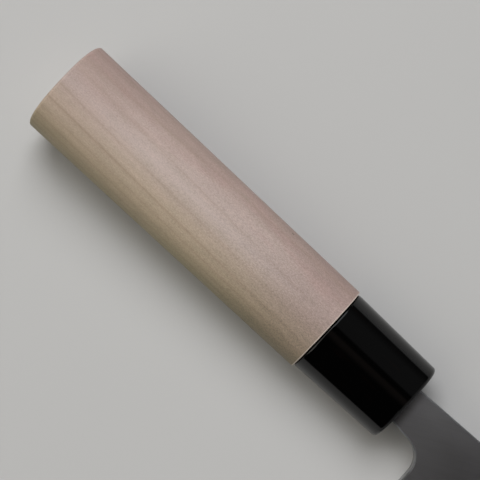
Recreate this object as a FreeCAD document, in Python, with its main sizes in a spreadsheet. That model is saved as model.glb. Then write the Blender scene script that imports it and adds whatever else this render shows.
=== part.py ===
import FreeCAD, Part
import math
import os
from enum import IntEnum, auto

import Sketcher
from FreeCAD import Vector

# Deba kitchen knife with an oval wooden handle, lying on its flat back, in millimetres.
# The origin is the middle of the butt end, on the handle's axis.
# +X runs along the handle to the front, +Y to the spine and +Z out of the bevelled face.
# The blade is drawn along its own axis, which leaves the middle of the handle's mouth and
# points up from the handle's axis, towards the spine, by the blade's angle.

SIZES = {
    # wooden grip, from the butt to the ferrule
    "grip_length": "95.0",
    "butt_height": "27.9",
    "butt_thickness": "22.7",
    "grip_front_height": "26.4",
    "grip_front_thickness": "20.8",
    "oval_turn": "80.0",
    "butt_round": "0.7",
    "shoulder_break": "0.12",
    # ferrule, set in from the wood, and at its front from its rear
    "ferrule_length": "28.6",
    "ferrule_inset": "0.55",
    "ferrule_front_inset": "0.65",
    "ferrule_wall": "3.4",
    "ferrule_rim_round": "1.0",
    "ferrule_edge_break": "0.8",
    "tenon_clearance": "0.05",
    # tang and its bedding
    "tang_length": "78.0",
    "tang_root_height": "8.6",
    "tang_root_thickness": "4.6",
    "tang_end_height": "5.0",
    "tang_end_thickness": "2.6",
    "bedding_gap": "0.6",
    "slot_relief": "4.0",
    # plan of the neck and blade, along the blade's axis
    "blade_angle": "1.9",
    "neck_length": "12.2",
    "neck_height": "11.05",
    "neck_spine_offset": "5.25",
    "neck_flare": "0.9",
    "choil_radius": "6.2",
    "blade_length": "150.0",
    "heel_height": "47.0",
    "spine_straight": "72.0",
    "tip_drop": "27.0",
    "edge_straight": "45.0",
    "belly_radius": "380.0",
    "belly_run": "50.0",
    # thickness of the blade, its bevel and its two layers
    "neck_thickness": "5.5",
    "tip_thickness": "1.8",
    "bevel_width": "22.0",
    "edge_land": "0.15",
    "spine_break": "0.4",
    "core_thickness": "1.8",
    "core_tip_thickness": "0.7",
    # hollow of the back, and the flat rims that it leaves
    "hollow_depth": "0.35",
    "heel_rim": "6.0",
    "tip_rim": "24.0",
    "edge_rim": "4.5",
    "spine_rim": "8.5",
}

DERIVED = {
    "handle_length": "=Sizes.grip_length + Sizes.ferrule_length",
    "oval_ratio": "=tan((90 - Sizes.oval_turn) / 2)",
    "ferrule_rear_height": "=Sizes.grip_front_height - 2 * Sizes.ferrule_inset",
    "ferrule_rear_thickness": "=Sizes.grip_front_thickness - 2 * Sizes.ferrule_inset",
    "ferrule_front_height": "=ferrule_rear_height - 2 * Sizes.ferrule_front_inset",
    "ferrule_front_thickness": "=ferrule_rear_thickness - 2 * Sizes.ferrule_front_inset",
    "tenon_height": "=ferrule_rear_height - 2 * Sizes.ferrule_wall",
    "tenon_thickness": "=ferrule_rear_thickness - 2 * Sizes.ferrule_wall",
    "bore_height": "=tenon_height + 2 * Sizes.tenon_clearance",
    "bore_thickness": "=tenon_thickness + 2 * Sizes.tenon_clearance",
    "tang_end_station": "=handle_length - Sizes.tang_length",
    "slot_end_station": "=tang_end_station - Sizes.slot_relief",
    "slot_root_height": "=Sizes.tang_root_height + 2 * Sizes.bedding_gap",
    "slot_root_thickness": "=Sizes.tang_root_thickness + 2 * Sizes.bedding_gap",
    "slot_end_height": "=Sizes.tang_end_height + 2 * Sizes.bedding_gap",
    "slot_end_thickness": "=Sizes.tang_end_thickness + 2 * Sizes.bedding_gap",
    "tip_reach": "=Sizes.neck_length + Sizes.blade_length",
    "tip_depth": "=Sizes.tip_drop - Sizes.neck_spine_offset",
    "edge_depth": "=Sizes.heel_height - Sizes.neck_spine_offset",
    "neck_depth": "=Sizes.neck_height - Sizes.neck_spine_offset",
    "back_level": "=-Sizes.neck_thickness / 2",
    "bevel_slope": "=(Sizes.neck_thickness - Sizes.edge_land) / Sizes.bevel_width",
    "hollow_length": "=Sizes.blade_length - Sizes.heel_rim - Sizes.tip_rim",
    "hollow_width": "=Sizes.heel_height - Sizes.edge_rim - Sizes.spine_rim",
    "hollow_reach": "=Sizes.neck_length + Sizes.heel_rim + hollow_length / 2",
    "hollow_middle": "=edge_depth - Sizes.edge_rim - hollow_width / 2",
    "hollow_long_radius": "=hollow_length ^ 2 / (8 * Sizes.hollow_depth) + Sizes.hollow_depth / 2",
    "hollow_cross_radius": "=hollow_width ^ 2 / (8 * Sizes.hollow_depth) + Sizes.hollow_depth / 2",
}

# How far a cutting shape runs on past the faces that it cuts.
OVERRUN = 5.0

# Two lengths closer than this are the same when edges are picked out.
NEAR = 0.01


class Spot(IntEnum):
    """The points of a line or an arc in a sketch."""

    START = auto()
    END = auto()
    CENTRE = auto()


class Axis(IntEnum):
    """A sketch's own axes, as its constraints count them."""

    ACROSS = -1
    UP = -2


START, END, CENTRE = Spot

# A sketch's origin, where the axis across it starts.
ORIGIN = (Axis.ACROSS, START)

doc = FreeCAD.newDocument("DebaKnife")


def fill_sheet(name, rows):
    """Put named values into a sheet, one alias a row."""
    sheet = doc.addObject("Spreadsheet::Sheet", name)
    for row, (alias, text) in enumerate(rows.items(), start=1):
        sheet.set(f"A{row}", alias)
        sheet.set(f"B{row}", text)
        sheet.setAlias(f"B{row}", alias)
    doc.recompute()
    return sheet


SHEETS = {"Sizes": fill_sheet("Sizes", SIZES), "Derived": fill_sheet("Derived", DERIVED)}


def sheet_of(alias):
    """Name of the sheet that holds a value."""
    return "Sizes" if alias in SIZES else "Derived"


def ref(alias):
    """A sheet value's name inside an expression."""
    return f"{sheet_of(alias)}.{alias}"


def size(alias):
    """A sheet value as a number, for a sketch's first drawing."""
    return float(SHEETS[sheet_of(alias)].get(alias))


class Drawing:
    """A sketch on one of its body's origin planes, with its dimensions bound to the sheets."""

    def __init__(self, body, plane, name):
        self.sketch = body.newObject("Sketcher::SketchObject", name)
        support = next(item for item in body.Origin.OriginFeatures if item.Role == plane)
        self.sketch.AttachmentSupport = [(support, "")]
        self.sketch.MapMode = "FlatFace"

    def shift(self, **formulas):
        """Move the sketch's origin on its plane (x, y) and off it (z)."""
        for axis, formula in formulas.items():
            self.sketch.setExpression(f"AttachmentOffset.Base.{axis}", formula)

    def tilt(self, axis):
        """Turn the sketch by the blade's angle about an axis of its own."""
        turn = FreeCAD.Rotation(axis, size("blade_angle"))
        self.sketch.AttachmentOffset = FreeCAD.Placement(Vector(), turn)
        self.sketch.setExpression("AttachmentOffset.Rotation.Angle", ref("blade_angle"))

    def line(self, start, end):
        return self.sketch.addGeometry(Part.LineSegment(Vector(*start), Vector(*end)))

    def arc(self, centre, radius, first, last):
        circle = Part.Circle(Vector(*centre), Vector(0, 0, 1), radius)
        return self.sketch.addGeometry(Part.ArcOfCircle(circle, first, last))

    def rule(self, kind, *references):
        self.sketch.addConstraint(Sketcher.Constraint(kind, *references))

    def across(self, first, second, formula):
        gap = self.sketch.getPoint(*second).x - self.sketch.getPoint(*first).x
        self._bind(Sketcher.Constraint("DistanceX", *first, *second, gap), formula)

    def up(self, first, second, formula):
        gap = self.sketch.getPoint(*second).y - self.sketch.getPoint(*first).y
        self._bind(Sketcher.Constraint("DistanceY", *first, *second, gap), formula)

    def radius(self, arc, formula):
        self._bind(Sketcher.Constraint("Radius", arc, self.sketch.Geometry[arc].Radius), formula)

    def polygon(self, corners):
        """Straight sides through the corners in order, joined end to end."""
        sides = []
        for start, end in zip(corners, corners[1:] + corners[:1]):
            sides.append(self.line(start, end))
        for side, following in zip(sides, sides[1:] + sides[:1]):
            self.rule("Coincident", side, END, following, START)
        return sides

    def _bind(self, constraint, formula):
        index = self.sketch.addConstraint(constraint)
        self.sketch.setExpression(f"Constraints[{index}]", formula)


def section_drawing(body, name, station):
    """Drawing across the handle at a station of its axis: spine to the right, bevelled face up."""
    drawing = Drawing(body, "YZ_Plane", name)
    drawing.shift(z=station)
    return drawing


def plan_drawing(body, name):
    """Drawing on the blade's back: along the blade's axis from the mouth, spine up."""
    drawing = Drawing(body, "XY_Plane", name)
    drawing.tilt(Vector(0, 0, 1))
    drawing.shift(x=ref("handle_length"), z=ref("back_level"))
    return drawing


def side_drawing(body, name):
    """Drawing of the blade seen along its spine: along its axis from the mouth, up from its back."""
    drawing = Drawing(body, "XZ_Plane", name)
    drawing.tilt(Vector(0, 1, 0))
    drawing.shift(x=ref("handle_length"), y=ref("back_level"))
    return drawing


def cross_drawing(body, name, reach, level):
    """Drawing across the blade at a reach along its axis: spine to the right, bevelled face up."""
    drawing = Drawing(body, "YZ_Plane", name)
    drawing.tilt(Vector(0, 1, 0))
    drawing.shift(
        x=f"({reach}) * sin({ref('blade_angle')})",
        y=level,
        z=f"{ref('handle_length')} + ({reach}) * cos({ref('blade_angle')})",
    )
    return drawing


def oval(body, name, station, height, thickness):
    """Oval section of the handle: two tight arcs at the sides, two broad arcs on the faces."""
    half = size(thickness) / 2
    ratio = size("oval_ratio")
    turn = math.radians(size("oval_turn"))
    side = (half - ratio * size(height) / 2) / (1 - ratio)
    shift = size(height) / 2 - side
    face = side + shift / math.cos(turn)
    sink = face - half

    drawing = section_drawing(body, name, station)
    spine_side = drawing.arc((shift, 0), side, -turn, turn)
    top = drawing.arc((0, -sink), face, turn, math.pi - turn)
    edge_side = drawing.arc((-shift, 0), side, math.pi - turn, math.pi + turn)
    bottom = drawing.arc((0, sink), face, math.pi + turn, 2 * math.pi - turn)
    ring = (spine_side, top, edge_side, bottom)
    for arc, following in zip(ring, ring[1:] + ring[:1]):
        drawing.rule("Tangent", arc, END, following, START)
    drawing.rule("PointOnObject", spine_side, CENTRE, Axis.ACROSS)
    drawing.rule("Symmetric", spine_side, CENTRE, edge_side, CENTRE, *ORIGIN)
    drawing.rule("PointOnObject", top, CENTRE, Axis.UP)
    drawing.rule("Equal", top, bottom)
    ratio_formula = ref("oval_ratio")
    side_formula = f"(({ref(thickness)} - {ratio_formula} * {ref(height)}) / 2 / (1 - {ratio_formula}))"
    shift_formula = f"({ref(height)} / 2 - {side_formula})"
    drawing.radius(spine_side, side_formula)
    drawing.across(ORIGIN, (spine_side, CENTRE), shift_formula)
    drawing.radius(top, f"{side_formula} + {shift_formula} / cos({ref('oval_turn')})")
    return drawing.sketch


def rectangle(body, name, station, height, thickness):
    """Rectangle across the handle, centred on its axis."""
    reach = size(height) / 2
    rise = size(thickness) / 2
    drawing = section_drawing(body, name, station)
    bottom, right, top, left = drawing.polygon(
        [(-reach, -rise), (reach, -rise), (reach, rise), (-reach, rise)]
    )
    drawing.rule("Horizontal", bottom)
    drawing.rule("Horizontal", top)
    drawing.rule("Vertical", right)
    drawing.rule("Vertical", left)
    drawing.rule("Symmetric", bottom, START, top, START, *ORIGIN)
    drawing.across((bottom, START), (bottom, END), ref(height))
    drawing.up((right, START), (right, END), ref(thickness))
    return drawing.sketch


def edge_curve(drawing, lead, tail):
    """Cutting edge in plan: straight from the heel, then the belly arc, then the arc up to the tip.

    It starts lead before the heel, and its last arc runs on tail past the tip.
    """
    level = -size("edge_depth")
    bend = size("neck_length") + size("edge_straight")
    radius = size("belly_radius")
    turn = math.asin(size("belly_run") / radius)
    belly_end = Vector(bend + size("belly_run"), level + radius * (1 - math.cos(turn)))
    chord = Vector(size("tip_reach"), -size("tip_depth")) - belly_end
    half_turn = math.atan2(chord.y, chord.x) - turn
    tip_radius = chord.Length / (2 * math.sin(half_turn))
    tip_centre = belly_end + Vector(-math.sin(turn), math.cos(turn)) * tip_radius
    down = -math.pi / 2
    last = down + turn + 2 * half_turn + tail / tip_radius

    straight = drawing.line((size("neck_length") - lead, level), (bend, level))
    belly = drawing.arc((bend, level + radius), radius, down, down + turn)
    rise = drawing.arc((tip_centre.x, tip_centre.y), tip_radius, down + turn, last)
    drawing.rule("Horizontal", straight)
    drawing.rule("Tangent", straight, END, belly, START)
    drawing.rule("Tangent", belly, END, rise, START)
    drawing.up((straight, START), ORIGIN, ref("edge_depth"))
    drawing.across(ORIGIN, (straight, START), f"{ref('neck_length')} - {lead}")
    drawing.across(ORIGIN, (straight, END), f"{ref('neck_length')} + {ref('edge_straight')}")
    drawing.radius(belly, ref("belly_radius"))
    drawing.across((belly, START), (belly, END), ref("belly_run"))
    return straight, rise


def place_tip(drawing, geometry, position):
    """Fix a point of the drawing at the blade's tip."""
    drawing.across(ORIGIN, (geometry, position), ref("tip_reach"))
    drawing.up((geometry, position), ORIGIN, ref("tip_depth"))


def spine_curve(drawing, rear, rear_formula):
    """Spine in plan: an arc from the tip to the bend, then straight to the rear."""
    bend = Vector(size("spine_straight"), size("neck_spine_offset"))
    chord = Vector(size("tip_reach"), -size("tip_depth")) - bend
    half_turn = -math.atan2(chord.y, chord.x)
    radius = chord.Length / (2 * math.sin(half_turn))
    upright = math.pi / 2

    fall = drawing.arc((bend.x, bend.y - radius), radius, upright - 2 * half_turn, upright)
    straight = drawing.line((bend.x, bend.y), (rear, bend.y))
    drawing.rule("Tangent", fall, END, straight, START)
    drawing.rule("Horizontal", straight)
    drawing.across(ORIGIN, (straight, START), ref("spine_straight"))
    drawing.up(ORIGIN, (straight, START), ref("neck_spine_offset"))
    drawing.across(ORIGIN, (straight, END), rear_formula)
    return fall, straight


def blade_plan(body, name):
    """Plan of the blade from the heel to the tip, closed across the blade at the heel."""
    heel_reach = size("neck_length")
    drawing = plan_drawing(body, name)
    edge, rise = edge_curve(drawing, 0, 0)
    fall, spine = spine_curve(drawing, heel_reach, ref("neck_length"))
    heel = drawing.line((heel_reach, size("neck_spine_offset")), (heel_reach, -size("edge_depth")))
    drawing.rule("Coincident", rise, END, fall, START)
    drawing.rule("Coincident", spine, END, heel, START)
    drawing.rule("Coincident", heel, END, edge, START)
    place_tip(drawing, rise, END)
    return drawing.sketch


def blade_and_neck_plan(body, name):
    """Plan of the blade with its neck, closed along the face of the ferrule."""
    lean = math.tan(math.radians(size("blade_angle")))
    top = size("neck_spine_offset")
    bottom = -size("neck_depth")
    heel_reach = size("neck_length")
    radius = size("choil_radius")
    flare = math.atan2(size("neck_flare"), heel_reach - radius)
    choil = (heel_reach - radius, bottom - size("neck_flare") - radius * math.cos(flare))
    join = (choil[0] + radius * math.sin(flare), bottom - size("neck_flare"))

    drawing = plan_drawing(body, name)
    edge, rise = edge_curve(drawing, 0, 0)
    lean_formula = f"tan({ref('blade_angle')})"
    fall, spine = spine_curve(drawing, top * lean, f"{ref('neck_spine_offset')} * {lean_formula}")
    mouth = drawing.line((top * lean, top), (bottom * lean, bottom))
    under_neck = drawing.line((bottom * lean, bottom), join)
    choil_arc = drawing.arc(choil, radius, 0, math.pi / 2 - flare)
    heel = drawing.line((heel_reach, choil[1]), (heel_reach, -size("edge_depth")))
    drawing.rule("Coincident", rise, END, fall, START)
    drawing.rule("Coincident", spine, END, mouth, START)
    drawing.rule("Coincident", mouth, END, under_neck, START)
    drawing.rule("Tangent", under_neck, END, choil_arc, END)
    drawing.rule("Tangent", choil_arc, START, heel, START)
    drawing.rule("Coincident", heel, END, edge, START)
    drawing.rule("Vertical", heel)
    drawing.up((mouth, END), ORIGIN, ref("neck_depth"))
    drawing.across((mouth, END), ORIGIN, f"{ref('neck_depth')} * {lean_formula}")
    drawing.up((under_neck, END), (under_neck, START), ref("neck_flare"))
    drawing.radius(choil_arc, ref("choil_radius"))
    place_tip(drawing, rise, END)
    return drawing.sketch


def falling_cut(body, name, run, start_level, end_level, lead, above):
    """Side view of the stock to remove above or below a line that falls over a run to the tip.

    Levels are measured from the blade's flat back. The line runs on past the tip, and lead
    before the run starts.
    """
    fall = (size(start_level) - size(end_level)) / size(run)
    left = size("tip_reach") - size(run) - lead
    right = size("tip_reach") + OVERRUN
    left_level = size(start_level) + fall * lead
    right_level = size(end_level) - fall * OVERRUN
    far_level = size("neck_thickness") + OVERRUN if above else -OVERRUN

    drawing = side_drawing(body, name)
    slope, right_side, far_side, left_side = drawing.polygon(
        [(left, left_level), (right, right_level), (right, far_level), (left, far_level)]
    )
    fall_formula = f"({ref(start_level)} - {ref(end_level)}) / {ref(run)}"
    drawing.rule("Vertical", right_side)
    drawing.rule("Horizontal", far_side)
    drawing.rule("Vertical", left_side)
    drawing.across((slope, START), (slope, END), f"{ref(run)} + {lead + OVERRUN}")
    drawing.up(ORIGIN, (slope, START), f"{ref(start_level)} + {fall_formula} * {lead}")
    drawing.across(ORIGIN, (slope, END), f"{ref('tip_reach')} + {OVERRUN}")
    drawing.up(ORIGIN, (slope, END), f"{ref(end_level)} - {fall_formula} * {OVERRUN}")
    if above:
        drawing.up(ORIGIN, (far_side, START), f"{ref('neck_thickness')} + {OVERRUN}")
    else:
        drawing.up((far_side, START), ORIGIN, f"{OVERRUN}")
    return drawing.sketch


def pad(body, sketch, length):
    """Extrude a sketch along its plane's normal."""
    feature = body.newObject("PartDesign::Pad", f"{sketch.Name}_pad")
    feature.Profile = sketch
    feature.setExpression("Length", length)
    doc.recompute()


def loft(body, kind, front, rear):
    """Straight-sided loft from the front section back to the rear one, added or subtracted."""
    feature = body.newObject(f"PartDesign::{kind}Loft", f"{front.Name}_loft")
    feature.Profile = front
    feature.Sections = [rear]
    feature.Ruled = True
    doc.recompute()
    if kind == "Subtractive":
        check_cut(feature)


def check_cut(feature):
    """Insist that a cutting feature took material away."""
    doc.recompute()
    if feature.Shape.Volume >= feature.BaseFeature.Shape.Volume:
        raise RuntimeError(f"{feature.Name} cut nothing")


def cut_through(body, sketch):
    """Remove a side-view section right through the blade, from its spine to its edge."""
    feature = body.newObject("PartDesign::Pocket", f"{sketch.Name}_cut")
    feature.Profile = sketch
    feature.Type = "Length"
    feature.SideType = "Symmetric"
    feature.setExpression("Length", f"2 * ({ref('heel_height')} + {OVERRUN})")
    check_cut(feature)


def cut_bevel(body):
    """Grind the bevelled face: a wedge swept along the cutting edge."""
    slope = size("bevel_slope")
    width = size("bevel_width") + 2 * OVERRUN
    left = -size("edge_depth") - OVERRUN
    low = OVERRUN + size("edge_land") - slope * OVERRUN
    high = low + slope * width
    start_reach = f"{ref('neck_length')} - {OVERRUN}"
    wedge = cross_drawing(body, "bevel_wedge", start_reach, f"{ref('back_level')} - {OVERRUN}")
    face, top, outside = wedge.polygon([(left, low), (left + width, high), (left, high)])
    width_formula = f"({ref('bevel_width')} + {2 * OVERRUN})"
    wedge.rule("Horizontal", top)
    wedge.rule("Vertical", outside)
    wedge.across((face, START), ORIGIN, f"{ref('edge_depth')} + {OVERRUN}")
    wedge.up(ORIGIN, (face, START), f"{OVERRUN} + {ref('edge_land')} - {ref('bevel_slope')} * {OVERRUN}")
    wedge.across((face, START), (face, END), width_formula)
    wedge.up((face, START), (face, END), f"{ref('bevel_slope')} * {width_formula}")

    path = plan_drawing(body, "bevel_path")
    _, rise = edge_curve(path, OVERRUN, OVERRUN)
    tip_point = Part.Point(Vector(size("tip_reach"), -size("tip_depth")))
    tip = path.sketch.addGeometry(tip_point, True)
    place_tip(path, tip, START)
    path.rule("PointOnObject", tip, START, rise)
    path.across((tip, START), (rise, END), f"{OVERRUN}")

    feature = body.newObject("PartDesign::SubtractivePipe", "bevel")
    feature.Profile = wedge.sketch
    feature.Spine = (path.sketch, ["Edge1", "Edge2", "Edge3"])
    feature.Mode = "Binormal"
    feature.Binormal = Vector(0, 0, 1)
    check_cut(feature)


def cut_hollow(body):
    """Hollow the flat back: a shallow lens, round both along and across the blade."""
    depth = size("hollow_depth")
    cross = size("hollow_cross_radius")
    along = size("hollow_long_radius")
    middle = -size("hollow_middle")
    base = along - 2 * depth
    half_chord = math.sqrt(cross**2 - (cross - 2 * depth) ** 2)
    turn = math.asin(half_chord / cross)

    level = f"{ref('back_level')} + {ref('hollow_depth')} - {ref('hollow_long_radius')}"
    lens = cross_drawing(body, "hollow_lens", ref("hollow_reach"), level)
    crown = lens.arc((middle, along - cross), cross, math.pi / 2 - turn, math.pi / 2 + turn)
    chord = lens.line((middle - half_chord, base), (middle + half_chord, base))
    lens.rule("Coincident", crown, END, chord, START)
    lens.rule("Coincident", chord, END, crown, START)
    lens.rule("Horizontal", chord)
    lens.radius(crown, ref("hollow_cross_radius"))
    lens.across((crown, CENTRE), ORIGIN, ref("hollow_middle"))
    lens.up(ORIGIN, (crown, CENTRE), f"{ref('hollow_long_radius')} - {ref('hollow_cross_radius')}")
    lens.up(ORIGIN, (chord, START), f"{ref('hollow_long_radius')} - 2 * {ref('hollow_depth')}")

    feature = body.newObject("PartDesign::Groove", "hollow")
    feature.Profile = lens.sketch
    feature.ReferenceAxis = (lens.sketch, ["H_Axis"])
    feature.Midplane = True
    feature.setExpression("Angle", f"360 / pi * {ref('hollow_length')} / {ref('hollow_long_radius')}")
    check_cut(feature)


def ease_edges(body, kind, name, amount, chosen):
    """Fillet or chamfer the edges of the body so far that pass a test."""
    base = body.Tip
    edges = [f"Edge{number}" for number, edge in enumerate(base.Shape.Edges, start=1) if chosen(edge)]
    feature = body.newObject(f"PartDesign::{kind}", name)
    feature.Base = (base, edges)
    feature.setExpression("Radius" if kind == "Fillet" else "Size", amount)
    doc.recompute()


def at_station(station):
    """Test for an edge that lies across the handle at a station."""
    def chosen(edge):
        return max(abs(edge.BoundBox.XMin - station), abs(edge.BoundBox.XMax - station)) < NEAR
    return chosen


def on_front_outline(edge):
    """Test for an edge of the blade's front face along its spine, neck and heel."""
    angle = math.radians(size("blade_angle"))
    middle = edge.valueAt((edge.FirstParameter + edge.LastParameter) / 2)
    ahead = middle.x - size("handle_length")
    reach = ahead * math.cos(angle) + middle.y * math.sin(angle)
    offset = middle.y * math.cos(angle) - ahead * math.sin(angle)
    fall = (size("neck_thickness") - size("tip_thickness")) / size("tip_reach")
    face_level = -size("back_level") - fall * reach
    on_face = abs(middle.z - face_level) < NEAR
    above_bevel = offset > size("bevel_width") - size("edge_depth")
    return on_face and above_bevel and ahead > NEAR


def new_body(label):
    """An empty sub-part, placed in the knife's own frame."""
    body = doc.addObject("PartDesign::Body", label)
    body.Label = label
    body.Placement = FreeCAD.Placement()
    return body


def slot_sections(body):
    """Sections of the tang's slot at the handle's mouth and at its floor."""
    mouth = rectangle(body, "slot_mouth", ref("handle_length"), "slot_root_height", "slot_root_thickness")
    floor = rectangle(body, "slot_floor", ref("slot_end_station"), "slot_end_height", "slot_end_thickness")
    return mouth, floor


def tang_sections(body):
    """Sections of the tang at the handle's mouth and at its end."""
    root = rectangle(body, "tang_root", ref("handle_length"), "tang_root_height", "tang_root_thickness")
    end = rectangle(body, "tang_end", ref("tang_end_station"), "tang_end_height", "tang_end_thickness")
    return root, end


def wooden_grip():
    """Tapered oval grip with its tenon for the ferrule and its slot for the tang."""
    body = new_body("wooden_grip")
    shoulder = ref("grip_length")
    butt = oval(body, "butt", "0", "butt_height", "butt_thickness")
    front = oval(body, "grip_front", shoulder, "grip_front_height", "grip_front_thickness")
    loft(body, "Additive", front, butt)
    ease_edges(body, "Fillet", "butt_rim", ref("butt_round"), at_station(0))
    ease_edges(body, "Chamfer", "shoulder_rim", ref("shoulder_break"), at_station(size("grip_length")))
    pad(body, oval(body, "tenon", shoulder, "tenon_height", "tenon_thickness"), ref("ferrule_length"))
    loft(body, "Subtractive", *slot_sections(body))
    return body


def ferrule():
    """Oval ring on the tenon, from the wood's shoulder to the front of the handle."""
    body = new_body("ferrule")
    shoulder = ref("grip_length")
    mouth = ref("handle_length")
    front = oval(body, "ring_front", mouth, "ferrule_front_height", "ferrule_front_thickness")
    rear = oval(body, "ring_rear", shoulder, "ferrule_rear_height", "ferrule_rear_thickness")
    loft(body, "Additive", front, rear)
    ease_edges(body, "Fillet", "rear_rim", ref("ferrule_edge_break"), at_station(size("grip_length")))
    ease_edges(body, "Fillet", "front_rim", ref("ferrule_rim_round"), at_station(size("handle_length")))
    front_bore = oval(body, "bore_front", mouth, "bore_height", "bore_thickness")
    rear_bore = oval(body, "bore_rear", shoulder, "bore_height", "bore_thickness")
    loft(body, "Subtractive", front_bore, rear_bore)
    return body


def blade_cladding():
    """Soft layer of the blade with its neck and tang, ground to a taper and bevelled."""
    body = new_body("blade_cladding")
    pad(body, blade_and_neck_plan(body, "blade_and_neck"), ref("neck_thickness"))
    cut_through(
        body,
        falling_cut(body, "front_face", "tip_reach", "neck_thickness", "tip_thickness", OVERRUN, True),
    )
    cut_bevel(body)
    ease_edges(body, "Chamfer", "spine_edge", ref("spine_break"), on_front_outline)
    cut_through(
        body,
        falling_cut(body, "core_seat", "blade_length", "core_thickness", "core_tip_thickness", 0, False),
    )
    loft(body, "Additive", *tang_sections(body))
    return body


def blade_core():
    """Hard layer on the back of the blade, which carries the edge and the hollow."""
    body = new_body("blade_core")
    pad(body, blade_plan(body, "blade"), ref("neck_thickness"))
    cut_through(
        body,
        falling_cut(
            body, "weld_face", "blade_length", "core_thickness", "core_tip_thickness", OVERRUN, True
        ),
    )
    cut_bevel(body)
    cut_hollow(body)
    return body


def tang_bedding():
    """Resin that fills the slot around the tang."""
    body = new_body("tang_bedding")
    loft(body, "Additive", *slot_sections(body))
    loft(body, "Subtractive", *tang_sections(body))
    return body


def check_document(bodies):
    """Stop if any object failed to compute, or a sub-part isn't one sound solid."""
    for item in doc.Objects:
        if "Invalid" in item.State or "Error" in item.State:
            raise RuntimeError(f"{item.Name} failed: {item.State}")
    for body in bodies:
        if body.Shape.isNull() or not body.Shape.isValid() or len(body.Shape.Solids) != 1:
            raise RuntimeError(f"{body.Label} is not one valid solid")


def main():
    """Build every sub-part, check it and write it to its own file."""
    bodies = [wooden_grip(), ferrule(), blade_cladding(), blade_core(), tang_bedding()]
    doc.recompute()
    check_document(bodies)
    os.makedirs("parts", exist_ok=True)
    for body in bodies:
        body.Shape.exportStep(f"parts/{body.Label}.step")
        print(f"{body.Label}: {body.Shape.Volume / 1000:.2f} cm3")


main()
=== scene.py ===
"""Deba knife with a pale wooden handle, a black ferrule and a single-bevel blade of two steels.

Lengths are in metres, apart from the patterns in the shaders, which are laid out in millimetres.
"""

from __future__ import annotations

import logging
import math
from dataclasses import dataclass, field, replace
from enum import Enum
from typing import Union

import bmesh
import bpy
from mathutils import Euler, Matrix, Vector


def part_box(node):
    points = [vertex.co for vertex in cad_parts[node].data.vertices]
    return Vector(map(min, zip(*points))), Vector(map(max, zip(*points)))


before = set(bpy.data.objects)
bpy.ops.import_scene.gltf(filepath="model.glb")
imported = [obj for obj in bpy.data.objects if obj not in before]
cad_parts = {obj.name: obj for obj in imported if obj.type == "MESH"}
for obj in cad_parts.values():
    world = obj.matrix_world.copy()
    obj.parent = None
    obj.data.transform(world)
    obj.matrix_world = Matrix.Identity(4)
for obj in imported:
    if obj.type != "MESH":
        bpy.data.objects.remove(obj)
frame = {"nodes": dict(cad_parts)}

LOG = logging.getLogger("deba_knife")
MM = 0.001
MM_PER_M = 1000.0
OPAQUE = 1.0
NOISE_MIDDLE = 0.5

Colour = tuple[float, float, float]
Triple = tuple[float, float, float]
Stops = tuple[tuple[float, Colour], ...]
Term = Union["Signal", float]


class Solid(str, Enum):
    """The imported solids, by node name."""

    WOOD = "wooden_grip"
    FERRULE = "ferrule"
    CLADDING = "blade_cladding"
    CORE = "blade_core"
    BEDDING = "tang_bedding"


class Layer(Enum):
    """The two steels of the blade, by the name of their material."""

    SOFT = "cladding_steel"
    HARD = "core_steel"


def box_mm(solid: Solid) -> tuple[Vector, Vector]:
    """Lowest and highest corner of a solid, in millimetres."""
    low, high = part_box(solid.value)
    return low * MM_PER_M, high * MM_PER_M


@dataclass(frozen=True)
class Blots:
    """A soft noise pattern: length of a blot along each axis, finer layers, and the part of the pattern."""

    cell_mm: Triple
    detail: float = 2.0
    seed: float = 0.0


@dataclass(frozen=True)
class Step:
    """A smooth step between two measured values, of which the first may be the higher."""

    start: float
    end: float
    low: float = 0.0
    high: float = 1.0

    def moved(self, way: float) -> "Step":
        """The same step, further along by a distance."""
        return replace(self, start=self.start + way, end=self.end + way)


class Signal:
    """One socket's value in a shader, for use in Python expressions."""

    def __init__(self, bench: "Bench", socket: bpy.types.NodeSocket) -> None:
        """Keeps the bench whose nodes make the value, and the socket that gives it."""
        self.bench = bench
        self.socket = socket

    def __add__(self, other: Term) -> "Signal":
        """The sum."""
        return self.bench.math("ADD", self, other)

    __radd__ = __add__

    def __mul__(self, other: Term) -> "Signal":
        """The product."""
        return self.bench.math("MULTIPLY", self, other)

    __rmul__ = __mul__

    def __sub__(self, other: Term) -> "Signal":
        """This value less the other."""
        return self.bench.math("SUBTRACT", self, other)

    def __rsub__(self, other: Term) -> "Signal":
        """The other value less this one."""
        return self.bench.math("SUBTRACT", other, self)

    def __truediv__(self, other: Term) -> "Signal":
        """This value over the other."""
        return self.bench.math("DIVIDE", self, other)

    def __rtruediv__(self, other: Term) -> "Signal":
        """The other value over this one."""
        return self.bench.math("DIVIDE", other, self)

    def __pow__(self, other: Term) -> "Signal":
        """This value to a power."""
        return self.bench.math("POWER", self, other)

    def __rpow__(self, other: Term) -> "Signal":
        """The other value to this power."""
        return self.bench.math("POWER", other, self)

    def __neg__(self) -> "Signal":
        """The value with its sign turned."""
        return self.bench.math("MULTIPLY", self, -1.0)

    def __abs__(self) -> "Signal":
        """The value without its sign."""
        return self.bench.math("ABSOLUTE", self)

    def rounded(self) -> "Signal":
        """The nearest whole number."""
        return self.bench.math("ROUND", self)

    def root(self) -> "Signal":
        """The square root."""
        return self.bench.math("SQRT", self)


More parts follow.
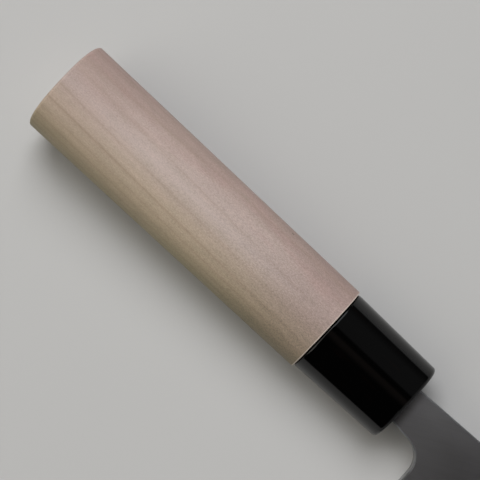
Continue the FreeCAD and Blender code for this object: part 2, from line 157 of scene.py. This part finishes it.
class Bench:
    """A shader's node tree, with the few tools that the finishes are made with."""

    def __init__(self, tree: bpy.types.NodeTree) -> None:
        """Takes over a node tree and empties it."""
        self.tree = tree
        self.tree.nodes.clear()

    @classmethod
    def for_material(cls, name: str) -> tuple["Bench", bpy.types.Material]:
        """Starts a new material.

        Args:
            name: The material's name.

        Returns:
            The bench, and the material that its nodes belong to.
        """
        material = bpy.data.materials.new(name)
        material.use_nodes = True
        return cls(material.node_tree), material

    def node(self, kind: str, settings: dict | None = None, sockets: dict | None = None) -> bpy.types.Node:
        """Adds one node.

        Args:
            kind: Blender's name of the node's type.
            settings: Properties, which are set first.
            sockets: A value or a Signal for each input, by name or by number.

        Returns:
            The new node.
        """
        made = self.tree.nodes.new(kind)
        for name, value in (settings or {}).items():
            if name == "stops":
                self.set_stops(made.color_ramp, value)
            else:
                setattr(made, name, value)
        for name, value in (sockets or {}).items():
            if isinstance(value, Signal):
                self.tree.links.new(value.socket, made.inputs[name])
            else:
                made.inputs[name].default_value = value
        return made

    @staticmethod
    def set_stops(ramp: bpy.types.ColorRamp, stops: Stops) -> None:
        """Puts a colour ramp's stops in place.

        Args:
            ramp: The ramp, as a new node has it.
            stops: Positions from 0 to 1 in rising order, each with its colour.
        """
        last_position = stops[-1][0]
        while len(ramp.elements) < len(stops):
            ramp.elements.new(last_position)
        for element, (position, colour) in zip(ramp.elements, stops):
            element.position = position
            element.color = (*colour, OPAQUE)

    def signal(self, kind: str, settings: dict | None = None, sockets: dict | None = None,
               output: str | int = 0) -> Signal:
        """Adds one node and gives one of its outputs.

        Args:
            kind: Blender's name of the node's type.
            settings: Properties, which are set first.
            sockets: A value or a Signal for each input.
            output: Name or number of the output.

        Returns:
            The output as a Signal.
        """
        return Signal(self, self.node(kind, settings, sockets).outputs[output])

    def math(self, operation: str, *terms: Term) -> Signal:
        """Adds a Math node for one operation on its terms."""
        return self.signal("ShaderNodeMath", {"operation": operation}, dict(enumerate(terms)))

    def place_mm(self) -> Signal:
        """The surface point in the knife's frame, as a vector in millimetres."""
        place = self.signal("ShaderNodeTexCoord", output="Object")
        return self.signal("ShaderNodeVectorMath", {"operation": "SCALE"}, {0: place, "Scale": MM_PER_M})

    def facing(self) -> tuple[Signal, Signal, Signal]:
        """The surface's normal in the knife's frame, as three numbers."""
        return self.split(self.signal("ShaderNodeTexCoord", output="Normal"))

    def split(self, vector: Signal) -> tuple[Signal, Signal, Signal]:
        """A vector's three numbers."""
        made = self.node("ShaderNodeSeparateXYZ", sockets={0: vector})
        return tuple(Signal(self, socket) for socket in made.outputs)

    def join(self, x: Term, y: Term, z: Term) -> Signal:
        """A vector from three numbers."""
        return self.signal("ShaderNodeCombineXYZ", sockets={0: x, 1: y, 2: z})

    def turned(self, place: Signal, angle: float) -> Signal:
        """A point as seen from axes that are turned about Z by an angle in radians."""
        sockets = {"Vector": place, "Angle": -angle}
        return self.signal("ShaderNodeVectorRotate", {"rotation_type": "Z_AXIS"}, sockets)

    def noise(self, place: Signal, blots: Blots) -> Signal:
        """Soft noise from 0 to 1, about 0.5 on average.

        Args:
            place: The point in millimetres.
            blots: The pattern.

        Returns:
            The noise.
        """
        spread = tuple(1.0 / size for size in blots.cell_mm)
        shift = (blots.seed,) * len(spread)
        terms = {0: place, 1: spread, 2: shift}
        cells = self.signal("ShaderNodeVectorMath", {"operation": "MULTIPLY_ADD"}, terms)
        sockets = {"Vector": cells, "Scale": 1.0, "Detail": blots.detail}
        return self.signal("ShaderNodeTexNoise", sockets=sockets)

    def swing(self, place: Signal, blots: Blots) -> Signal:
        """The same noise about 0, from -0.5 to 0.5."""
        return self.noise(place, blots) - NOISE_MIDDLE

    def specks(self, place: Signal, cell_mm: Triple) -> Signal:
        """Distance to the nearest of many scattered points, in cells.

        Args:
            place: The point in millimetres.
            cell_mm: Mean spacing of the points along each axis.

        Returns:
            The distance, 0 at a point.
        """
        spread = tuple(1.0 / size for size in cell_mm)
        cells = self.signal("ShaderNodeVectorMath", {"operation": "MULTIPLY"}, {0: place, 1: spread})
        sockets = {"Vector": cells, "Scale": 1.0}
        return self.signal("ShaderNodeTexVoronoi", sockets=sockets, output="Distance")

    def chance(self, number: Signal) -> Signal:
        """A fixed random number from 0 to 1 for each value."""
        return self.signal("ShaderNodeTexWhiteNoise", {"noise_dimensions": "1D"}, {"W": number}, "Value")

    def ramp(self, value: Signal, step: Step) -> Signal:
        """A smooth step.

        Args:
            value: What is measured.
            step: Where the step begins and ends, and what it gives there.

        Returns:
            The step's height.
        """
        limits = (step.start, step.end, step.low, step.high)
        if step.start > step.end:
            limits = (step.end, step.start, step.high, step.low)
        sockets = dict(enumerate((value, *limits)))
        return self.signal("ShaderNodeMapRange", {"interpolation_type": "SMOOTHSTEP"}, sockets)

    def blend(self, first: Signal | Colour, second: Signal | Colour, share: Signal) -> Signal:
        """Mixes two colours.

        Args:
            first: Colour at a share of 0.
            second: Colour at a share of 1.
            share: How much of the second.

        Returns:
            The mixed colour.
        """
        share_socket, first_socket, second_socket, result = 0, 6, 7, 2
        sockets = {share_socket: share}
        for socket, colour in ((first_socket, first), (second_socket, second)):
            sockets[socket] = colour if isinstance(colour, Signal) else (*colour, OPAQUE)
        return self.signal("ShaderNodeMix", {"data_type": "RGBA"}, sockets, result)

    def tones(self, value: Signal, stops: Stops) -> Signal:
        """A colour that follows a number through a list of stops.

        Args:
            value: What is measured.
            stops: Values in rising order, each with its colour.

        Returns:
            The colour.
        """
        low, high = stops[0][0], stops[-1][0]
        spread = tuple(((at - low) / (high - low), colour) for at, colour in stops)
        share = (value - low) / (high - low)
        return self.signal("ShaderNodeValToRGB", {"stops": spread}, {0: share}, "Color")

    def shade(self, colour: Signal, level: Signal) -> Signal:
        """A colour made lighter or darker by a number about 1."""
        return self.signal("ShaderNodeVectorMath", {"operation": "SCALE"}, {0: colour, "Scale": level})

    def bump(self, height: Signal, depth: float) -> Signal:
        """Tilts the normal by a height from 0 to 1 that stands for a depth."""
        return self.signal("ShaderNodeBump", sockets={"Strength": 1.0, "Distance": depth, "Height": height})

    def surface(self, sockets: dict) -> None:
        """Ends the tree in a Principled shader with these inputs."""
        shader = self.signal("ShaderNodeBsdfPrincipled", sockets=sockets)
        self.node("ShaderNodeOutputMaterial", sockets={"Surface": shader})


@dataclass(frozen=True)
class HandleWood:
    """Bare straight-grained wood, sanded smooth, pinkish to the spine and olive to the edge."""

    # broad colours by the distance from the axis towards the spine, with painted shade darkening both sides
    side_tones_and_painted_shade: Stops = (
        (-13.5, (0.294, 0.256, 0.150)),
        (-9.0, (0.428, 0.343, 0.246)),
        (-4.0, (0.443, 0.355, 0.285)),
        (2.0, (0.496, 0.409, 0.381)),
        (7.5, (0.456, 0.361, 0.331)),
        (12.5, (0.385, 0.286, 0.252)),
    )
    drift: Blots = Blots((55.0, 9.0, 9.0), 2.0, 3.0)
    drift_mm: float = 4.0
    # pink blush, in patches near the spine and all over at both ends
    blush_tone: Colour = (0.430, 0.290, 0.268)
    blush: Blots = Blots((17.0, 4.5, 4.5), 2.0, 11.0)
    blush_patch: Step = Step(0.44, 0.64)
    blush_side: Step = Step(2.0, 9.0)
    blush_share: float = 0.34
    ends_side: Step = Step(-9.0, 1.0, 0.30, 1.0)
    front_reach: Step = Step(66.0, 92.0)
    front_blush: float = 0.34
    butt_reach: Step = Step(34.0, 4.0)
    butt_blush: float = 0.24
    # painted shade, darker towards the butt on the spine side
    butt_painted_shade: float = 0.05
    # soft mottling
    mottle_pink: Colour = (0.470, 0.345, 0.300)
    mottle_green: Colour = (0.415, 0.365, 0.270)
    mottle: Blots = Blots((6.0, 1.3, 1.3), 2.0, 61.0)
    mottle_share: float = 0.55
    mottle_light: float = 0.16
    # growth rings: the whole part of the shift picks their strengths, the rest of it where they fall
    late_tone: Colour = (0.270, 0.196, 0.140)
    pith_mm: tuple[float, float] = (-47.46, -104.06)
    grain_slant: tuple[float, float] = (-0.0254, 0.0331)
    ring_spacing_mm: float = 1.9925
    ring_shift: float = 760.45
    ring_wander: Blots = Blots((85.0, 11.0, 11.0), 1.0, 5.0)
    ring_wander_mm: float = 0.35
    ring_breaks: Blots = Blots((40.0, 3.0, 3.0), 2.0, 13.0)
    ring_break: Step = Step(0.28, 0.50)
    ring_half: float = 0.5
    ring_line_power: float = 5.0
    ring_line_share: float = 0.38
    ring_late: Step = Step(-0.5, 0.0)
    ring_end: Step = Step(0.10, 0.0)
    ring_late_share: float = 0.10
    ring_least: float = 0.22
    # pores and a few dark specks
    pore_tone: Colour = (0.230, 0.165, 0.118)
    pores: Blots = Blots((0.85, 0.22, 0.22), 1.0, 7.0)
    pore: Step = Step(0.60, 0.76)
    pore_share: float = 0.26
    speck_tone: Colour = (0.090, 0.060, 0.045)
    speck_spacing_mm: Triple = (17.0, 7.0, 7.0)
    speck: Step = Step(0.030, 0.016)
    # light and dark of the fibres, the cloudy figure and the flecks, and painted shade towards the front,
    # stronger on the edge side
    fibres: Blots = Blots((4.0, 0.34, 0.34), 3.0, 0.0)
    fibre_light: float = 0.11
    clouds: Blots = Blots((22.0, 3.2, 3.2), 3.0, 17.0)
    cloud_light: float = 0.18
    flecks: Blots = Blots((0.48, 0.27, 0.27), 2.0, 19.0)
    fleck_light: Step = Step(10.0, 85.0, 0.46, 0.80)
    front_painted_shade: Step = Step(50.0, 96.0)
    front_painted_shade_sides: Step = Step(12.0, -12.0, 0.10, 0.34)
    # cut butt, then the rim, measured from the ferrule's rear, and the burnt wood, from its mouth
    end_facing: Step = Step(0.25, 0.95)
    end_light: float = 0.80
    rim_tone: Colour = (0.780, 0.680, 0.600)
    rim_reach: Step = Step(-0.40, -0.15)
    rim_share: float = 0.65
    char_tone: Colour = (0.030, 0.022, 0.017)
    char_reach: Step = Step(-1.0, -0.2)
    char_width: Step = Step(9.0, 5.0)
    char_flatness: float = 1.9
    char_share: float = 0.9
    # surface
    relief: float = 0.02 * MM
    sheen: float = 0.40
    smooth: float = 0.44
    fibre_roughness: float = 0.16

    def material(self) -> bpy.types.Material:
        """Builds the wood's shader.

        Returns:
            The material.
        """
        bench, material = Bench.for_material("handle_wood")
        place = bench.place_mm()
        fibres = bench.noise(place, self.fibres)
        pores = bench.ramp(bench.noise(place, self.pores), self.pore)
        specks = bench.ramp(bench.specks(place, self.speck_spacing_mm), self.speck)
        rings = self.rings(bench, place)
        tone = self.broad_tones(bench, place)
        tone = bench.blend(tone, self.late_tone, rings)
        tone = bench.blend(tone, self.pore_tone, pores * self.pore_share)
        tone = bench.blend(tone, self.speck_tone, specks)
        tone = bench.shade(tone, self.figure(bench, place))
        tone = self.cut_ends(bench, place, tone)
        bench.surface({
            "Base Color": tone,
            "Roughness": self.smooth + self.fibre_roughness * fibres,
            "Specular IOR Level": self.sheen,
            "Normal": bench.bump(fibres - pores - rings, self.relief),
        })
        return material

    def broad_tones(self, bench: Bench, place: Signal) -> Signal:
        """The wood's broad colours: the sides, darkened by painted shade, the blush and the soft pink and
        green mottling.

        Args:
            bench: Where the nodes go.
            place: The point in millimetres.

        Returns:
            The colour.
        """
        x, y, _ = bench.split(place)
        # pink and olive across the handle, with painted shade darkening both sides
        tone = bench.tones(y + self.drift_mm * bench.swing(place, self.drift), self.side_tones_and_painted_shade)
        upper = bench.ramp(y, self.blush_side)
        patches = bench.ramp(bench.noise(place, self.blush), self.blush_patch) * upper
        front = bench.ramp(x, self.front_reach) * self.front_blush
        butt = bench.ramp(x, self.butt_reach) * self.butt_blush
        ends = (front + butt) * bench.ramp(y, self.ends_side)
        tone = bench.blend(tone, self.blush_tone, ends + patches * self.blush_share)
        patch = bench.swing(place, self.mottle)
        pink = bench.math("MAXIMUM", patch, 0.0)
        green = bench.math("MAXIMUM", -patch, 0.0)
        tone = bench.blend(tone, self.mottle_pink, pink * self.mottle_share)
        return bench.blend(tone, self.mottle_green, green * self.mottle_share)

    def rings(self, bench: Bench, place: Signal) -> Signal:
        """Growth rings: thin dark lines of uneven strength, each with a soft shade before it.

        Args:
            bench: Where the nodes go.
            place: The point in millimetres.

        Returns:
            The share of late wood, from 0 to 1.
        """
        x, y, z = bench.split(place)
        sideways = y + self.grain_slant[0] * x - self.pith_mm[0]
        upwards = z + self.grain_slant[1] * x - self.pith_mm[1]
        radius = (sideways * sideways + upwards * upwards).root()
        wander = self.ring_wander_mm * bench.swing(place, self.ring_wander)
        count = (radius + wander) / self.ring_spacing_mm + self.ring_shift
        nearest = count.rounded()
        past = count - nearest
        line = (1.0 - abs(past) / self.ring_half) ** self.ring_line_power
        late = bench.ramp(past, self.ring_late) * bench.ramp(past, self.ring_end)
        strength = self.ring_least + (1.0 - self.ring_least) * bench.chance(nearest)
        breaks = bench.ramp(bench.noise(place, self.ring_breaks), self.ring_break)
        return (line * breaks * self.ring_line_share + late * self.ring_late_share) * strength

    def figure(self, bench: Bench, place: Signal) -> Signal:
        """Light and dark of the fibres, the cloudy figure, the flecks and the mottling, and painted shade
        towards both ends.

        Args:
            bench: Where the nodes go.
            place: The point in millimetres.

        Returns:
            The light, about 1.
        """
        x, y, _ = bench.split(place)
        fibres = self.fibre_light * bench.swing(place, self.fibres)
        clouds = self.cloud_light * bench.swing(place, self.clouds)
        flecks = bench.ramp(x, self.fleck_light) * bench.swing(place, self.flecks)
        mottle = self.mottle_light * bench.swing(place, self.mottle)
        # painted shade towards the front, stronger on the edge side, and towards the butt
        front = bench.ramp(x, self.front_painted_shade) * bench.ramp(y, self.front_painted_shade_sides)
        butt = bench.ramp(x, self.butt_reach) * bench.ramp(y, self.ends_side) * self.butt_painted_shade
        return 1.0 + fibres + clouds + flecks + mottle - front - butt

    def cut_ends(self, bench: Bench, place: Signal, tone: Signal) -> Signal:
        """Darker end grain, a pale rim at the ferrule, and burnt wood round the tang.

        Args:
            bench: Where the nodes go.
            place: The point in millimetres.
            tone: The wood's colour elsewhere.

        Returns:
            The colour with its ends.
        """
        rear, mouth = box_mm(Solid.FERRULE)
        x, y, z = bench.split(place)
        out_x, _, _ = bench.facing()
        butt = bench.ramp(-out_x, self.end_facing)
        tone = bench.shade(tone, 1.0 - (1.0 - self.end_light) * butt)
        rim = bench.ramp(x, self.rim_reach.moved(rear.x))
        tone = bench.blend(tone, self.rim_tone, rim * self.rim_share)
        flat = self.char_flatness * z
        reach = (y * y + flat * flat).root()
        burnt = bench.ramp(x, self.char_reach.moved(mouth.x)) * bench.ramp(reach, self.char_width)
        return bench.blend(tone, self.char_tone, burnt * self.char_share)


@dataclass(frozen=True)
class FerruleGloss:
    """Polished black ferrule with faint brown streaks and fine scratches, rubbed duller at its rims."""

    black: Colour = (0.0004, 0.0004, 0.0004)
    streak_tone: Colour = (0.0050, 0.0018, 0.0012)
    streaks: Blots = Blots((16.0, 1.6, 1.6), 2.0, 23.0)
    streak: Step = Step(0.60, 0.78)
    streak_share: float = 0.4
    haze: Blots = Blots((6.0, 6.0, 6.0), 3.0, 29.0)
    scratches: Blots = Blots((0.10, 2.6, 2.6), 2.0, 31.0)
    scratch: Step = Step(0.62, 0.82)
    polish: float = 0.05
    haze_roughness: float = 0.05
    scratch_roughness: float = 0.05
    rim: Step = Step(0.06, 0.30)
    rim_roughness: float = 0.08
    reflectance: float = 0.40
    relief: float = 0.0005 * MM

    def material(self) -> bpy.types.Material:
        """Builds the ferrule's shader.

        Returns:
            The material.
        """
        bench, material = Bench.for_material("ferrule_resin")
        place = bench.place_mm()
        streaks = bench.ramp(bench.noise(place, self.streaks), self.streak)
        haze = bench.noise(place, self.haze)
        scratches = bench.ramp(bench.noise(place, self.scratches), self.scratch)
        out_x, _, _ = bench.facing()
        rubbed = self.rim_roughness * bench.ramp(abs(out_x), self.rim)
        marks = self.haze_roughness * haze + self.scratch_roughness * scratches
        bench.surface({
            "Base Color": bench.blend(self.black, self.streak_tone, streaks * self.streak_share),
            "Roughness": self.polish + marks + rubbed,
            "Specular IOR Level": self.reflectance,
            "Normal": bench.bump(haze - scratches, self.relief),
        })
        return material


@dataclass(frozen=True)
class BladeSteel:
    """Satin steel of either layer. The two meet in a soft wavy line on the bevel."""

    layer: Layer
    # colours of the flat, the soft part of the bevel, the hard layer and the line between them
    flat_tone: Colour = (0.505, 0.518, 0.546)
    misty_tone: Colour = (0.470, 0.477, 0.490)
    hard_tone: Colour = (0.600, 0.607, 0.620)
    weld_tone: Colour = (0.720, 0.725, 0.730)
    # directions of the blade and of the scratches on its flat
    blade_angle: float = math.radians(1.9)
    scratch_angle: float = math.radians(25.0)
    # painted light towards the spine, and painted shade on the side walls
    spine_edge: Step = Step(-7.0, 1.0)
    spine_painted_light: float = 0.22
    side_painted_shade: Step = Step(0.70, 0.93, 0.44, 1.0)
    # painted light on the neck, turning to painted shade towards the tip, and a painted shadow of the
    # ferrule, measured from the ferrule's mouth
    neck_painted_light: Step = Step(26.4, 3.4, -0.17, 0.14)
    mouth_painted_shadow: Step = Step(3.4, -0.4)
    painted_shadow_share: float = 0.92
    # bevel, by how much it faces up, and the weld line
    bevel_top: Step = Step(0.996, 0.988)
    bevel_low: Step = Step(0.90, 0.94)
    weld_wave: Blots = Blots((9.0, 40.0, 40.0), 3.0, 47.0)
    weld_wave_mm: float = 0.34
    weld_softness_mm: float = 0.05
    # mist and polishing lines
    mist: Blots = Blots((7.0, 3.0, 3.0), 4.0, 43.0)
    mist_light: float = 0.14
    fine_lines: Blots = Blots((16.0, 0.38, 0.9), 2.0, 37.0)
    coarse_lines: Blots = Blots((22.0, 1.1, 1.6), 2.0, 38.0)
    coarse_share: float = 0.4
    line_light: float = 0.22
    # surface
    smooth: float = 0.290
    line_roughness: float = 0.015
    mist_roughness: float = 0.015
    bevel_roughness: float = 0.12
    hard_polish: float = 0.05
    relief: float = 0.0015 * MM

    def material(self) -> bpy.types.Material:
        """Builds the shader of one layer.

        Returns:
            The material.
        """
        bench, material = Bench.for_material(self.layer.value)
        place = bench.place_mm()
        _, _, out_z = bench.facing()
        bevel = bench.ramp(out_z, self.bevel_top) * bench.ramp(out_z, self.bevel_low)
        depth = self.weld_depth(bench, place)
        hard = bench.ramp(depth, Step(-self.weld_softness_mm, self.weld_softness_mm))
        weld = bench.ramp(abs(depth), Step(self.weld_softness_mm, 0.0)) * bevel
        soft_bevel = bevel * (1.0 - hard)
        lines = self.hairlines(bench, place, self.blade_angle + self.scratch_angle)
        ground_lines = self.hairlines(bench, place, self.blade_angle)
        streak = lines + (ground_lines - lines) * bench.math("MAXIMUM", bevel, hard)
        mist = bench.swing(place, self.mist)
        tone = bench.blend(self.flat_tone, self.misty_tone, soft_bevel)
        tone = bench.blend(tone, self.hard_tone, hard)
        tone = bench.blend(tone, self.weld_tone, weld)
        satin = self.line_light * streak + self.mist_light * mist
        # painted light on the spine and the neck, and the painted shadow at the ferrule's mouth
        tone = bench.shade(tone, self.neck_and_spine(bench, place) + satin)
        # painted shade on the side walls, which face sideways
        tone = bench.shade(tone, bench.ramp(abs(out_z), self.side_painted_shade))
        rough = self.smooth + self.bevel_roughness * soft_bevel - self.hard_polish * hard
        bench.surface({
            "Base Color": tone,
            "Metallic": 1.0,
            "Roughness": rough + self.line_roughness * streak + self.mist_roughness * mist,
            "Normal": bench.bump(streak, self.relief),
        })
        return material

    def weld_depth(self, bench: Bench, place: Signal) -> Signal:
        """How deep a point lies below the wavy weld line.

        Args:
            bench: Where the nodes go.
            place: The point in millimetres.

        Returns:
            The depth in millimetres, negative above the line.
        """
        _, top_of_core = box_mm(Solid.CORE)
        _, _, z = bench.split(place)
        return top_of_core.z - z - self.weld_wave_mm * bench.swing(place, self.weld_wave)

    def neck_and_spine(self, bench: Bench, place: Signal) -> Signal:
        """Painted light on the spine and the neck, and the painted shadow of the ferrule at its mouth.

        Args:
            bench: Where the nodes go.
            place: The point in millimetres.

        Returns:
            The painted light and shade, about 1.
        """
        _, mouth = box_mm(Solid.FERRULE)
        along, across, _ = bench.split(bench.turned(place, self.blade_angle))
        spine = self.spine_painted_light * bench.ramp(across, self.spine_edge)
        neck = bench.ramp(along, self.neck_painted_light.moved(mouth.x))
        painted_shadow = self.painted_shadow_share * bench.ramp(along, self.mouth_painted_shadow.moved(mouth.x))
        return 1.0 + spine + neck - painted_shadow

    def hairlines(self, bench: Bench, place: Signal, angle: float) -> Signal:
        """Fine polishing lines.

        Args:
            bench: Where the nodes go.
            place: The point in millimetres.
            angle: Direction of the lines from the handle's axis, in radians.

        Returns:
            The lines, from about -0.5 to 0.5.
        """
        turned = bench.turned(place, angle)
        fine = bench.swing(turned, self.fine_lines)
        coarse = bench.swing(turned, self.coarse_lines)
        return fine + (coarse - fine) * self.coarse_share


@dataclass(frozen=True)
class BeddingResin:
    """Cured amber resin round the tang."""

    clear_tone: Colour = (0.110, 0.070, 0.030)
    sooty_tone: Colour = (0.035, 0.025, 0.015)
    soot: Blots = Blots((1.6, 1.2, 1.2), 3.0, 53.0)
    sooty: Step = Step(0.40, 0.62)
    smooth: float = 0.30
    soot_roughness: float = 0.25
    relief: float = 0.05 * MM

    def material(self) -> bpy.types.Material:
        """Builds the resin's shader.

        Returns:
            The material.
        """
        bench, material = Bench.for_material("bedding_resin")
        soot = bench.noise(bench.place_mm(), self.soot)
        bench.surface({
            "Base Color": bench.blend(self.clear_tone, self.sooty_tone, bench.ramp(soot, self.sooty)),
            "Roughness": self.smooth + self.soot_roughness * soot,
            "Normal": bench.bump(soot, self.relief),
        })
        return material


@dataclass
class Handle:
    """Wooden grip, ferrule and the bedding round the tang."""

    wood: HandleWood = field(default_factory=HandleWood)
    ferrule: FerruleGloss = field(default_factory=FerruleGloss)
    bedding: BeddingResin = field(default_factory=BeddingResin)

    def dress(self, nodes: dict[str, bpy.types.Object]) -> None:
        """Gives each piece of the handle its finish.

        Args:
            nodes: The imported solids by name.
        """
        finishes = {Solid.WOOD: self.wood, Solid.FERRULE: self.ferrule, Solid.BEDDING: self.bedding}
        for solid, finish in finishes.items():
            nodes[solid.value].material_slots[0].material = finish.material()
            LOG.info("%s dressed as %s", solid.value, type(finish).__name__)


@dataclass
class Blade:
    """Cladding with its neck and tang, and the core that carries the edge."""

    soft: BladeSteel = field(default_factory=lambda: BladeSteel(Layer.SOFT))
    hard: BladeSteel = field(default_factory=lambda: BladeSteel(Layer.HARD))

    def dress(self, nodes: dict[str, bpy.types.Object]) -> None:
        """Gives both layers their finish.

        Args:
            nodes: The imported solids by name.
        """
        for solid, finish in {Solid.CLADDING: self.soft, Solid.CORE: self.hard}.items():
            nodes[solid.value].material_slots[0].material = finish.material()
            LOG.info("%s dressed as %s", solid.value, finish.layer.value)


@dataclass
class SoftBox:
    """A square soft light that faces the knife and stays out of the picture."""

    name: str
    direction: Triple
    distance: float
    width: float
    power: float
    colour: Colour
    in_gloss: bool = True

    def hang(self, target: Vector) -> None:
        """Hangs the light.

        Args:
            target: The point that it faces.
        """
        lamp = bpy.data.lights.new(self.name, "AREA")
        lamp.shape = "SQUARE"
        lamp.size = self.width
        lamp.energy = self.power
        lamp.color = self.colour
        box = bpy.data.objects.new(self.name, lamp)
        away = Vector(self.direction).normalized()
        box.location = target + away * self.distance
        box.rotation_euler = away.to_track_quat("Z", "Y").to_euler()
        box.visible_camera = False
        box.visible_glossy = self.in_gloss
        bpy.context.scene.collection.objects.link(box)


@dataclass
class Studio:
    """Pale floor, two soft lights and a dim room round the knife."""

    # the floor, under a knife that leans on its shoulder and its tip
    roll: float = math.radians(4.40)
    pitch: float = math.radians(1.92)
    floor_radius: float = 8.0
    floor_sides: int = 96
    floor_tone: Colour = (0.52, 0.52, 0.52)
    floor_clouds: Blots = Blots((90.0, 90.0, 90.0), 3.0, 59.0)
    floor_darkening: float = 0.96
    floor_roughness: float = 0.9
    floor_reflectance: float = 0.1
    # the lights
    target: Triple = (0.06, 0.0, 0.0)
    key: SoftBox = field(default_factory=lambda: SoftBox(
        "key", direction=(-0.42, 0.46, 0.79), distance=3.0, width=2.2, power=86.0,
        colour=(1.0, 1.0, 1.0), in_gloss=False))
    fill: SoftBox = field(default_factory=lambda: SoftBox(
        "fill", direction=(-0.60, -0.42, 0.68), distance=3.0, width=3.4, power=46.0,
        colour=(1.0, 0.96, 0.87)))
    # the room, by direction
    fill_level: float = 0.03
    horizon: Step = Step(0.02, 0.12, 0.45, 0.010)
    overhead: Step = Step(0.0, 0.1)
    end_wall: Step = Step(0.36, 0.60, 0.0, 0.22)
    panel_edge: Step = Step(math.cos(math.radians(29.0)), math.cos(math.radians(20.0)))
    panel_colour: Colour = (1.44, 1.50, 1.56)
    window_near: Step = Step(0.165, 0.195)
    window_far: Step = Step(1.12, 0.74)
    window_colour: Colour = (0.102, 0.102, 0.103)
    lamp_near: Step = Step(0.085, 0.04)
    lamp_far: Step = Step(-0.12, 0.0)
    lamp_colour: Colour = (0.084, 0.066, 0.058)

    def build(self, nodes: dict[str, bpy.types.Object]) -> None:
        """Lays the floor under the resting knife, and sets up the lights.

        Args:
            nodes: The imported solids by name.
        """
        bpy.context.scene.view_settings.view_transform = "Standard"
        self.lay_floor(nodes)
        for box in (self.key, self.fill):
            box.hang(Vector(self.target))
        self.fill_room()

    @property
    def floor_up(self) -> Vector:
        """The floor's normal in the knife's frame."""
        return Vector((-math.sin(self.pitch), math.sin(self.roll), 1.0)).normalized()

    def lay_floor(self, nodes: dict[str, bpy.types.Object]) -> None:
        """Makes the floor, as high as the knife's lowest point.

        Args:
            nodes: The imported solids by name.
        """
        up = self.floor_up
        level = min(up.dot(vertex.co) for node in nodes.values() for vertex in node.data.vertices)
        shape = bmesh.new()
        bmesh.ops.create_circle(shape, cap_ends=True, segments=self.floor_sides, radius=self.floor_radius)
        mesh = bpy.data.meshes.new("floor")
        shape.to_mesh(mesh)
        shape.free()
        floor = bpy.data.objects.new("floor", mesh)
        floor.location = up * level
        floor.rotation_euler = up.to_track_quat("Z", "Y").to_euler()
        mesh.materials.append(self.floor_material())
        bpy.context.scene.collection.objects.link(floor)

    def floor_material(self) -> bpy.types.Material:
        """A matt pale floor with a barely visible unevenness.

        Returns:
            The material.
        """
        bench, material = Bench.for_material("pale_floor")
        clouds = bench.noise(bench.place_mm(), self.floor_clouds)
        darker = tuple(self.floor_darkening * part for part in self.floor_tone)
        bench.surface({
            "Base Color": bench.blend(self.floor_tone, darker, clouds),
            "Roughness": self.floor_roughness,
            "Specular IOR Level": self.floor_reflectance,
        })
        return material

    def fill_room(self) -> None:
        """Fills the room with dim light, and gives it a look where it is seen directly or in gloss."""
        world = bpy.data.worlds.new("room")
        world.use_nodes = True
        bpy.context.scene.world = world
        bench = Bench(world.node_tree)
        seen = bench.signal("ShaderNodeBackground", sockets={"Color": self.room_colour(bench)})
        fill = bench.signal("ShaderNodeBackground", sockets={"Strength": self.fill_level})
        rays = bench.node("ShaderNodeLightPath").outputs
        direct = Signal(bench, rays["Is Camera Ray"])
        gloss = Signal(bench, rays["Is Glossy Ray"])
        through = Signal(bench, rays["Is Transmission Ray"])
        share = bench.math("MAXIMUM", bench.math("MAXIMUM", direct, gloss), through)
        room = bench.signal("ShaderNodeMixShader", sockets={0: share, 1: fill, 2: seen})
        bench.node("ShaderNodeOutputWorld", sockets={"Surface": room})

    def room_colour(self, bench: Bench) -> Signal:
        """The room's look: a pale horizon, a dim wall past the tip, a soft panel, a window and a warm lamp.

        Args:
            bench: Where the nodes go.

        Returns:
            The colour in each direction.
        """
        direction = bench.signal("ShaderNodeTexCoord", output="Generated")
        along, side, height = bench.split(direction)
        overhead = bench.ramp(height, self.overhead)
        walls = bench.ramp(height, self.horizon) + bench.ramp(along, self.end_wall) * overhead
        key = tuple(Vector(self.key.direction).normalized())
        terms = {0: direction, 1: key}
        nearness = bench.signal("ShaderNodeVectorMath", {"operation": "DOT_PRODUCT"}, terms, "Value")
        panel = bench.ramp(nearness, self.panel_edge)
        window = bench.ramp(side, self.window_near) * bench.ramp(side, self.window_far) * overhead
        lamp = bench.ramp(side, self.lamp_near) * bench.ramp(side, self.lamp_far) * overhead
        colours = zip(self.panel_colour, self.window_colour, self.lamp_colour)
        levels = [walls + panel * soft + window * cool + lamp * warm for soft, cool, warm in colours]
        return bench.join(*levels)


@dataclass
class PhotoCamera:
    """Camera at the photograph's viewing angle, over the handle."""

    location: Triple = (78.01 * MM, -0.34 * MM, 416.77 * MM)
    turn: Triple = (0.02939, 0.02420, 0.75124)
    focal_pixels: float = 1571.4
    image_pixels: float = 480.0
    sensor_width_mm: float = 36.0
    nearest: float = 10.0 * MM
    farthest: float = 60.0

    def build(self) -> None:
        """Makes the camera and points the scene at it."""
        lens = bpy.data.cameras.new("photo_camera")
        lens.sensor_width = self.sensor_width_mm
        lens.lens = self.sensor_width_mm * self.focal_pixels / self.image_pixels
        lens.clip_start = self.nearest
        lens.clip_end = self.farthest
        camera = bpy.data.objects.new("photo_camera", lens)
        camera.location = self.location
        camera.rotation_euler = Euler(self.turn, "XYZ")
        bpy.context.scene.collection.objects.link(camera)
        bpy.context.scene.camera = camera


def main() -> None:
    """Dresses the knife and sets up its studio."""
    logging.basicConfig(level=logging.INFO, format="%(message)s")
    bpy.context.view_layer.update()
    nodes = frame["nodes"]
    PhotoCamera().build()
    Handle().dress(nodes)
    Blade().dress(nodes)
    Studio().build(nodes)


if __name__ == "__main__":
    main()
